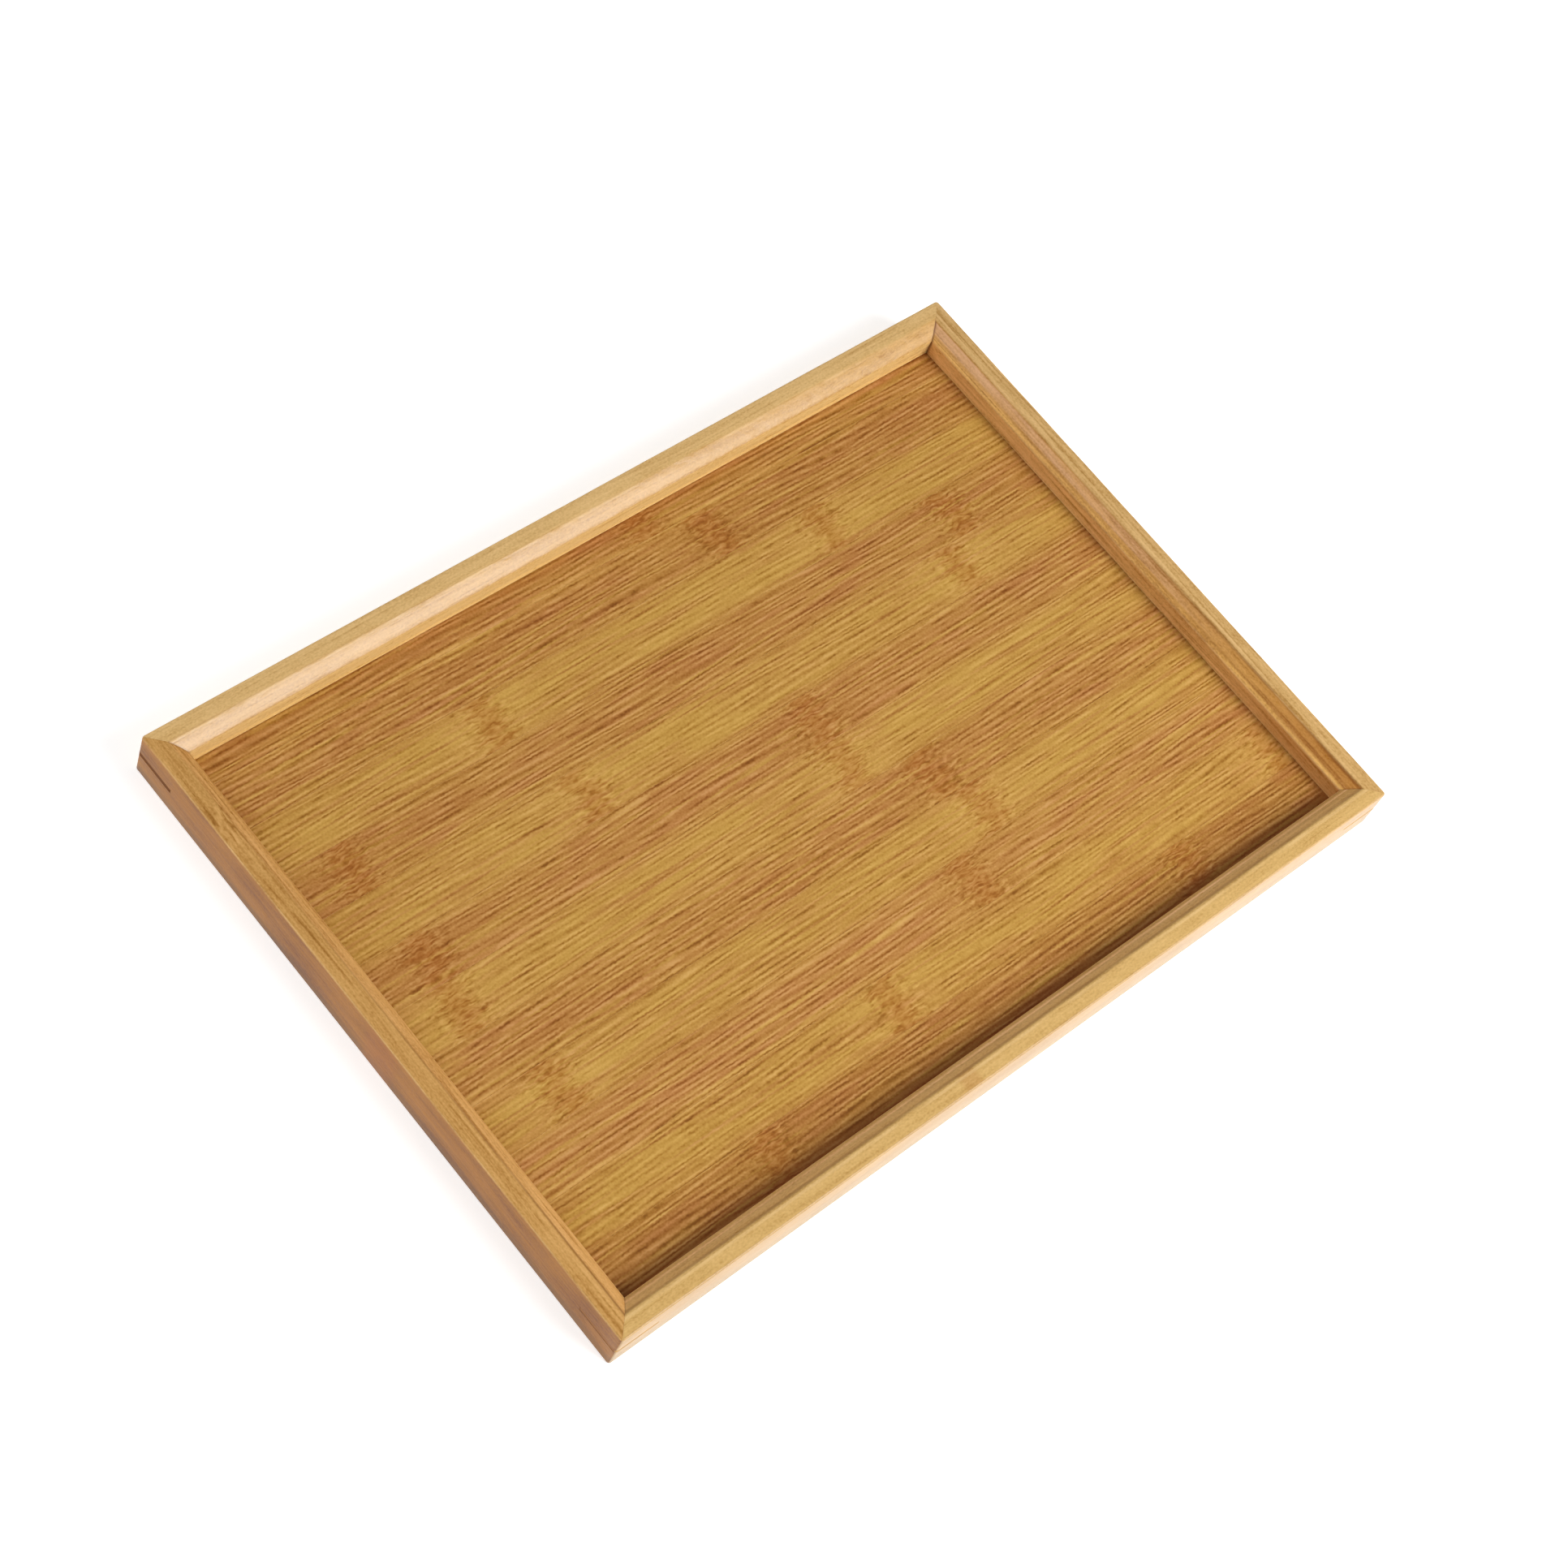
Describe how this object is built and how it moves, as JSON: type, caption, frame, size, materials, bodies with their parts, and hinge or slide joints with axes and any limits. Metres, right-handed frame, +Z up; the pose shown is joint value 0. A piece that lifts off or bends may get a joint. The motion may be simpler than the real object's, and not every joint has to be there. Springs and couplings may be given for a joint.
{
  "type": "serving tray",
  "caption": "Shallow rectangular bamboo serving tray with a mitred, chamfered rim, keyed corners and a flat floor of edge-glued strips set in the rim's groove.",
  "frame": {"origin": "middle of the tray's footprint, on the surface that it stands on", "axes": "+X along the long side, from the left rail to the right rail; +Y from the front rail to the back rail; +Z up"},
  "size_m": [0.36, 0.25, 0.02],
  "materials": {
    "rail": "satin lacquered bamboo, straight grain along the rail",
    "key": "darker bamboo slip, sanded flush",
    "floor_brown": "satin lacquered bamboo, reddish brown strip",
    "floor_yellow": "satin lacquered bamboo, yellow strip"
  },
  "bodies": {
    "root": {"front_rail": "rail", "right_rail": "rail", "back_rail": "rail", "left_rail": "rail", "key_front_left": "key", "key_front_right": "key", "key_back_right": "key", "key_back_left": "key", "floor_strip_01": "floor_brown", "floor_strip_02": "floor_brown", "floor_strip_03": "floor_yellow", "floor_strip_04": "floor_brown", "floor_strip_05": "floor_yellow", "floor_strip_06": "floor_brown", "floor_strip_07": "floor_yellow", "floor_strip_08": "floor_brown", "floor_strip_09": "floor_yellow", "floor_strip_10": "floor_brown", "floor_strip_11": "floor_yellow", "floor_strip_12": "floor_brown"}
  },
  "joints": []
}
